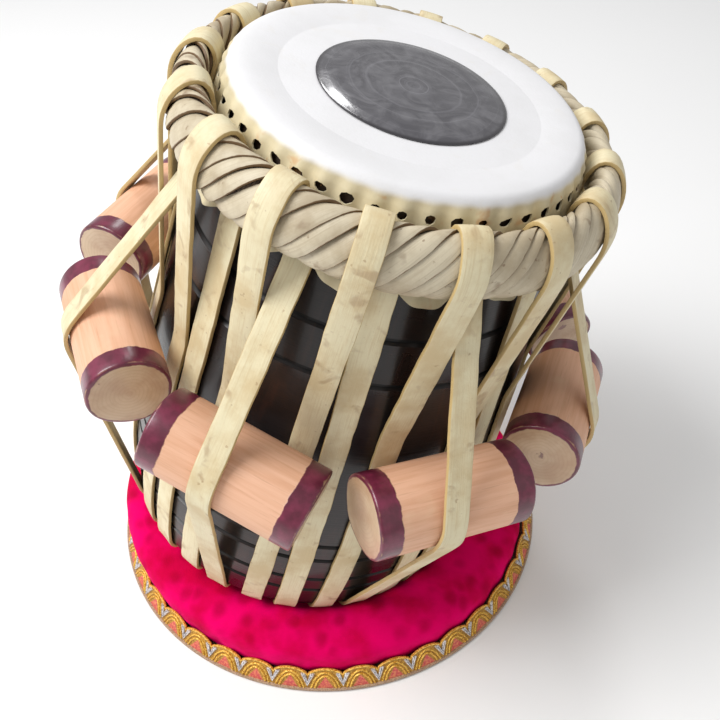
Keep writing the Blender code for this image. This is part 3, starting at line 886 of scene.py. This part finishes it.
maroon = mixed(tree, brushed, (0.098, 0.009, 0.026, 1), (0.195, 0.021, 0.058, 1))
colour = mixed(tree, band, wood, maroon)
colour = mixed(tree, worn, colour, (0.50, 0.30, 0.16, 1))
cut_face = mixed(tree, smears, cut_face, maroon)
rim_paint = between(tree, calc(tree, "MULTIPLY_ADD", speckle(tree, place, 200, 3), 0.002, from_axis), 0.0172, 0.0178)
end_colour = mixed(tree, rim_paint, cut_face, maroon)
feed(tree, shader, {
    "Base Color": mixed(tree, end_face, colour, end_colour),
    "Roughness": calc(tree, "MULTIPLY_ADD", band, -0.27, 0.60),
    "Coat Weight": calc(tree, "MULTIPLY", band, 0.4),
})
fix(shader, {"Coat Roughness": 0.2})
paint_edge = calc(tree, "MULTIPLY_ADD", band, 0.8, calc(tree, "MULTIPLY", grain, 0.35))
raised(tree, shader, calc(tree, "ADD", paint_edge, calc(tree, "MULTIPLY", fine, 0.2)), 0.00022)

for number in range(DOWEL_COUNT):
    dowel = linked(f"dowel_{number + 1}_painted", pattern.data.copy())
    points = points_of(dowel)
    note(dowel, "own", points)
    for i, point in enumerate(points):
        facet = noise.noise(Vector((point[0] * 60, point[1] * 60, point[2] * 14 + 5 * number)))
        hand_cut = noise.noise(Vector((point[0] * 45 + number, point[1] * 45, 3.0 * np.sign(point[2]))))
        points[i, :2] *= 1 + DOWEL_FACETS * facet
        points[i, 2] += SAW_SLIP * hand_cut * (abs(point[2]) > half - 2 * DOWEL_ROUNDING)
    put_points(dowel, points)
    turn = Matrix.Rotation(FIRST_LOOP + number * math.tau / DOWEL_COUNT + DOWEL_TURN, 4, "Z")
    lie = Matrix.Rotation(math.radians(90 + DOWEL_TILTS[number]), 4, "X")
    dowel.data.transform(turn @ Matrix.Translation((DOWEL_DISTANCE, 0, DOWEL_HEIGHT)) @ lie)
    smooth(dowel, 60)
    lean(dowel)
    dowel.data.materials.append(paint)
    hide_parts(f"tuning_dowel_{number + 1}")
    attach(dowel, f"dowel_{number + 1}")
bpy.data.objects.remove(pattern)


# Cushion: a velvet tube, stuffed hard and sewn to a cloth ring below. The drum's weight presses a seat into it, and
# the velvet draws in to its seams in small gathers.
VOXEL = 0.0045
PRESSURE = 4.0
CLOTH_FRAMES = 20
SWELL_CAP = 0.0050
SEAT_REACH = 0.0994
SEAT_FLARE = 0.375
SEAT_GAP = 0.0002
PINNED_BY_SEAT = 0.0030
TUCK_HEIGHT = 0.0122
GATHERS = 46
GATHER_DEPTH = 0.00035

box_low, box_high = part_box("cushion_underside")
middle_of_ring = (box_low + box_high) / 2
cushion = linked("velvet_ring", frame["nodes"]["ring_cushion"].data.copy())
pick(cushion)
weld()
cushion.data.remesh_voxel_size = VOXEL
bpy.ops.object.voxel_remesh()


def seat_depth(points):
    """How far each point is outside the space that the drum takes, measured from the drum's axis."""
    local = points @ np.array(LEANING.inverted().to_3x3()).T + np.array(LEANING.inverted().translation)
    reach = np.hypot(local[:, 0], local[:, 1])
    return reach - (SEAT_REACH + SEAT_FLARE * (np.maximum(local[:, 2], HEEL_HEIGHT) - HEEL_HEIGHT)), local


def soften(times, share):
    bpy.ops.object.mode_set(mode="EDIT")
    bpy.ops.mesh.select_all(action="SELECT")
    bpy.ops.mesh.vertices_smooth(factor=share, repeat=times)
    bpy.ops.object.mode_set(mode="OBJECT")


soften(4, 0.5)
start = points_of(cushion)
sewn = (start[:, 2] < TUCK_HEIGHT) | (seat_depth(start)[0] < PINNED_BY_SEAT)
pins = cushion.vertex_groups.new(name="sewn")
pins.add([int(i) for i in np.flatnonzero(sewn)], 1.0, "REPLACE")
cloth = cushion.modifiers.new("Velvet", "CLOTH")
cloth.settings.use_pressure = True
cloth.settings.uniform_pressure_force = PRESSURE
cloth.settings.vertex_group_mass = pins.name
cloth.settings.effector_weights.gravity = 0.0
for step in range(1, CLOTH_FRAMES + 1):
    bpy.context.scene.frame_set(step)
bpy.ops.object.modifier_apply(modifier=cloth.name)
bpy.context.scene.frame_set(1)
moved = points_of(cushion) - start
size = np.linalg.norm(moved, axis=1, keepdims=True)
put_points(cushion, start + moved * np.minimum(1, SWELL_CAP / np.maximum(size, 1e-9)))
soften(2, 0.5)

reshape(cushion, "SUBSURF", levels=1, render_levels=1)
points = points_of(cushion)
centred = points - np.array(middle_of_ring)
azimuth = np.arctan2(centred[:, 1], centred[:, 0])
reach = np.hypot(centred[:, 0], centred[:, 1])
for i, point in enumerate(points):
    out = Vector((centred[i, 0], centred[i, 1], 0)) / reach[i]
    gather = math.sin(GATHERS * azimuth[i] + 3 * math.sin(3 * azimuth[i]))
    near_seam = max(0.0, 1 - abs(point[2] - TUCK_HEIGHT) / 0.010) * (reach[i] > 0.111)
    soft = noise.noise(Vector(point) * 38)
    points[i] += np.array(out) * (GATHER_DEPTH * gather * near_seam + 0.0005 * soft * (reach[i] > 0.106))
    points[i, 2] += 0.0006 * soft * (0.106 > reach[i] > 0.08)
spare, local = seat_depth(points)
inward = np.maximum(0, SEAT_GAP - spare)
away = unit(local[:, :2])
push = np.stack([away[:, 0] * inward, away[:, 1] * inward, 0 * inward], axis=1) @ np.array(LEANING.to_3x3()).T
push[local[:, 2] < HEEL_HEIGHT - 0.002] = 0
points += push
points[:, 2] = np.maximum(points[:, 2], box_high.z + SEAT_GAP)
put_points(cushion, points)
smooth(cushion, 70)
cushion.data.materials.clear()
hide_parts("ring_cushion")
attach(cushion, "cushion")

velvet, tree, shader = surface("velvet")
place = object_place(tree)
drift = put(tree, "ShaderNodeTexNoise", {"Vector": place, "Scale": 30}).outputs["Color"]
warped = put(tree, "ShaderNodeVectorMath", {0: stretched(tree, place, (84, 84, 50)), 1: drift}).outputs[0]
cells = put(tree, "ShaderNodeTexVoronoi", {"Vector": warped, "Scale": 1.0, "Randomness": 0.75}, feature="F1")
spots = calc(tree, "SUBTRACT", 1.0, between(tree, cells.outputs["Distance"], 0.10, 0.50))
nap_light_and_shade = speckle(tree, place, 45, 3, 0.5)
pile = speckle(tree, place, 1900, 2)
# The velvet's colour moves in soft patches between a lit and a shaded copy of the same magenta: painted light and
# painted shade.
colour = mixed(tree, between(tree, nap_light_and_shade, 0.35, 0.7), (0.84, 0.0, 0.130, 1), (0.58, 0.0, 0.048, 1))
colour = mixed(tree, calc(tree, "MULTIPLY", spots, 0.55), colour, (0.34, 0.0, 0.016, 1))
feed(tree, shader, {"Base Color": colour})
fix(shader, {"Roughness": 0.85, "Specular IOR Level": 0.05})
fix(shader, {"Sheen Weight": 0.15, "Sheen Roughness": 0.4, "Sheen Tint": (1.0, 0.02, 0.40, 1)})
raised(tree, shader, calc(tree, "MULTIPLY_ADD", pile, 0.6, calc(tree, "MULTIPLY", spots, -0.3)), 0.00025)
cushion.data.materials.append(velvet)


# Lace: a scalloped braid of gold and silver thread on salmon cloth, sewn round the foot of the cushion so that its
# lower edge stands out on the floor. The pattern repeats round the ring: an arch, then a silver V.
REPEATS = 42
COLUMNS_PER_REPEAT = 16
BRAID_LEVELS = (0, 0.33, 0.66, 1)
LACE_LOW = Vector((0.1272, 0.0, 0.0012))
LACE_HIGH = Vector((0.1217, 0.0, 0.0122))
THREAD = 0.00062
THICK_THREAD = THREAD * 1.15


def on_lace(azimuth, rise, proud=0.0):
    """A point on the braid: rise goes from 0 at its foot to 1 at the top of a scallop."""
    slope = (LACE_HIGH - LACE_LOW).normalized()
    spot = LACE_LOW + (LACE_HIGH - LACE_LOW) * rise + Vector((slope.z, 0, -slope.x)) * proud
    return Vector((
        middle_of_ring.x + spot.x * math.cos(azimuth), middle_of_ring.y + spot.x * math.sin(azimuth), spot.z
    ))


def scallop(azimuth):
    """The height of the braid's upper edge: round-topped arches that meet in narrow dips."""
    share = (azimuth * REPEATS / (math.tau)) % 1.0
    return 0.70 + 0.30 * math.sin(math.pi * share) ** 0.6


columns = REPEATS * COLUMNS_PER_REPEAT
step = math.tau / REPEATS
azimuths = [math.tau * i / columns for i in range(columns + 1)]
rows = np.array([[on_lace(a, scallop(a) * share, -0.0002) for share in BRAID_LEVELS] for a in azimuths])
lay = np.array([[(a / step, scallop(a) * share, 0) for share in BRAID_LEVELS] for a in azimuths])
band = laid("lace_band", rows, lay)
thickened(band, 0.0010, 0.0002, closed=True)


def thread(name, route, radius, closed):
    """A thread along a route of points, made from a curve with a round bevel."""
    curve = bpy.data.curves.new(name, "CURVE")
    curve.dimensions = "3D"
    curve.bevel_depth = radius
    curve.bevel_resolution = 1
    curve.use_fill_caps = True
    spline = curve.splines.new("POLY")
    spline.points.add(len(route) - 1)
    for point, spot in zip(spline.points, route):
        point.co = (*spot, 1.0)
    spline.use_cyclic_u = closed
    made = linked(name, curve)
    pick(made)
    bpy.ops.object.convert(target="MESH")
    return made


def arch(share, foot, top, power):
    return foot + (top - foot) * math.sin(math.pi * share) ** power


edging = [on_lace(a, scallop(a), 0.0002) for a in azimuths[:-1]]
gold = [thread("lace_edge", edging, THICK_THREAD, True)]
for number in range(REPEATS):
    for inset, top in ((0.10, 0.84), (0.20, 0.66)):
        spots = []
        for share in np.linspace(0, 1, 11):
            azimuth = (number + inset + (1 - 2 * inset) * share) * step
            spots.append(on_lace(azimuth, arch(share, 0.08, top, 0.65), 0.0004))
        gold.append(thread(f"lace_arch_{number}", spots, THREAD, False))
gold_threads = join("lace_gold", gold)
silver = []
for number in range(REPEATS):
    for spread, foot in ((0.17, 0.22), (0.11, 0.36)):
        spots = [
            on_lace((number - spread) * step, 0.80, 0.0006), on_lace(number * step, foot, 0.0008),
            on_lace((number + spread) * step, 0.80, 0.0006),
        ]
        silver.append(thread(f"lace_silver_{number}", spots, THICK_THREAD, False))
silver_threads = join("lace_silver", silver)
binding = thread("lace_binding", [on_lace(a, -0.01, 0.0003) for a in azimuths[:-1:2]], 0.0010, True)

woven, tree, shader = surface("lace_cloth")
lay = axes_of(tree, kept(tree, "lay", "Vector"))
from_middle = calc(tree, "ABSOLUTE", calc(tree, "SUBTRACT", calc(tree, "FRACT", lay["X"]), 0.5))
triangle = calc(tree, "ADD", calc(tree, "MULTIPLY", from_middle, 2.4), lay["Y"])
place = object_place(tree)
coarse = between(tree, speckle(tree, place, 900, 2), 0.4, 0.65)
salmon = mixed(tree, coarse, (0.62, 0.085, 0.085, 1), (0.80, 0.24, 0.12, 1))
dense = between(tree, speckle(tree, place, 1200, 2), 0.4, 0.65)
gold_ground = mixed(tree, dense, (0.36, 0.17, 0.02, 1), (0.62, 0.34, 0.05, 1))
feed(tree, shader, {"Base Color": mixed(tree, between(tree, triangle, 0.58, 0.66), salmon, gold_ground)})
fix(shader, {"Roughness": 0.6})
raised(tree, shader, speckle(tree, place, 1500, 2), 0.0003)
band.data.materials.append(woven)


def metal_thread(name, bright, dull, metal):
    made, tree, shader = surface(name)
    place = object_place(tree)
    twist = speckle(tree, place, 1300, 2, 0.4)
    look = mixed(tree, between(tree, twist, 0.38, 0.6), dull, bright)
    feed(tree, shader, {"Base Color": look, "Roughness": calc(tree, "MULTIPLY_ADD", twist, 0.3, 0.2)})
    fix(shader, {"Metallic": metal})
    raised(tree, shader, twist, 0.0004)
    return made


gold_threads.data.materials.append(metal_thread("gold_thread", (1.0, 0.66, 0.13, 1), (0.58, 0.27, 0.02, 1), 0.3))
silver_threads.data.materials.append(metal_thread("silver_thread", (0.92, 0.90, 0.90, 1), (0.45, 0.42, 0.42, 1), 0.35))
binding.data.materials.append(metal_thread("edge_binding", (0.50, 0.34, 0.22, 1), (0.33, 0.20, 0.12, 1), 0.0))
for piece in (band, gold_threads, silver_threads, binding):
    smooth(piece, 60)
    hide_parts("cushion_trim")
    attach(piece, "cushion")


# Underside: a ring of plain woven cotton, sewn on to close the cushion below, which stands on it. Only its edge shows,
# so the CAD node itself is kept and takes the cloth.
backing, tree, shader = surface("backing_cloth")
place = object_place(tree)
warp = put(tree, "ShaderNodeTexWave", {"Vector": place, "Scale": 260}, bands_direction="X").outputs["Fac"]
weft = put(tree, "ShaderNodeTexWave", {"Vector": place, "Scale": 260}, bands_direction="Y").outputs["Fac"]
weave = calc(tree, "MULTIPLY", warp, weft)
worn = speckle(tree, place, 30, 4)
colour = mixed(tree, weave, (0.24, 0.16, 0.10, 1), (0.50, 0.38, 0.26, 1))
feed(tree, shader, {"Base Color": mixed(tree, between(tree, worn, 0.5, 0.8), colour, (0.30, 0.21, 0.14, 1))})
fix(shader, {"Roughness": 0.9})
raised(tree, shader, weave, 0.0003)
frame["nodes"]["cushion_underside"].material_slots[0].material = backing


# Studio: a plain pale floor, a broad soft light high on the left, a weak one on the right and a small one behind, which
# glints on the paste. The camera looks down at the drum from the front.
CAMERA_PLACE = (0.0113, -0.3131, 0.4152)
CAMERA_DROP = math.radians(42.63)
CAMERA_ROLL = math.radians(-0.46)

bpy.ops.object.select_all(action="DESELECT")
bpy.ops.mesh.primitive_plane_add(size=12)
floor = bpy.context.object
floor.name = "floor"
pale, tree, shader = surface("pale_floor")
tone = speckle(tree, object_place(tree), 3.0, 2)
feed(tree, shader, {"Base Color": mixed(tree, tone, (0.93, 0.93, 0.93, 1), (0.95, 0.95, 0.95, 1))})
fix(shader, {"Roughness": 0.7})
floor.data.materials.append(pale)
floor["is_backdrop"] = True

world = bpy.data.worlds.new("studio")
world.use_nodes = True
fix(world.node_tree.nodes["Background"], {"Color": (1, 1, 1, 1), "Strength": 0.45})
bpy.context.scene.world = world


def soft_light(name, place, size, power):
    lamp = bpy.data.lights.new(name, "AREA")
    lamp.shape = "SQUARE"
    lamp.size = size
    lamp.energy = power
    made = linked(name, lamp)
    made.location = place
    made.rotation_euler = (Vector((0, 0, 0.1)) - Vector(place)).to_track_quat("-Z", "Y").to_euler()


soft_light("key", (-0.95, -0.25, 1.35), 0.9, 24.0)
soft_light("fill", (1.0, -0.9, 0.9), 1.2, 1.2)
soft_light("glint", (0.02, 1.15, 1.5), 0.35, 5.0)

view = bpy.data.cameras.new("camera")
view.lens = 40.0
view.sensor_width = 36.0
view.clip_start = 0.01
camera = linked("camera", view)
tilt = Matrix.Rotation(math.pi / 2 - CAMERA_DROP, 4, "X")
camera.matrix_world = Matrix.Translation(CAMERA_PLACE) @ tilt @ Matrix.Rotation(CAMERA_ROLL, 4, "Z")
bpy.context.scene.camera = camera
bpy.context.scene.view_settings.view_transform = "Standard"

low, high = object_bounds()
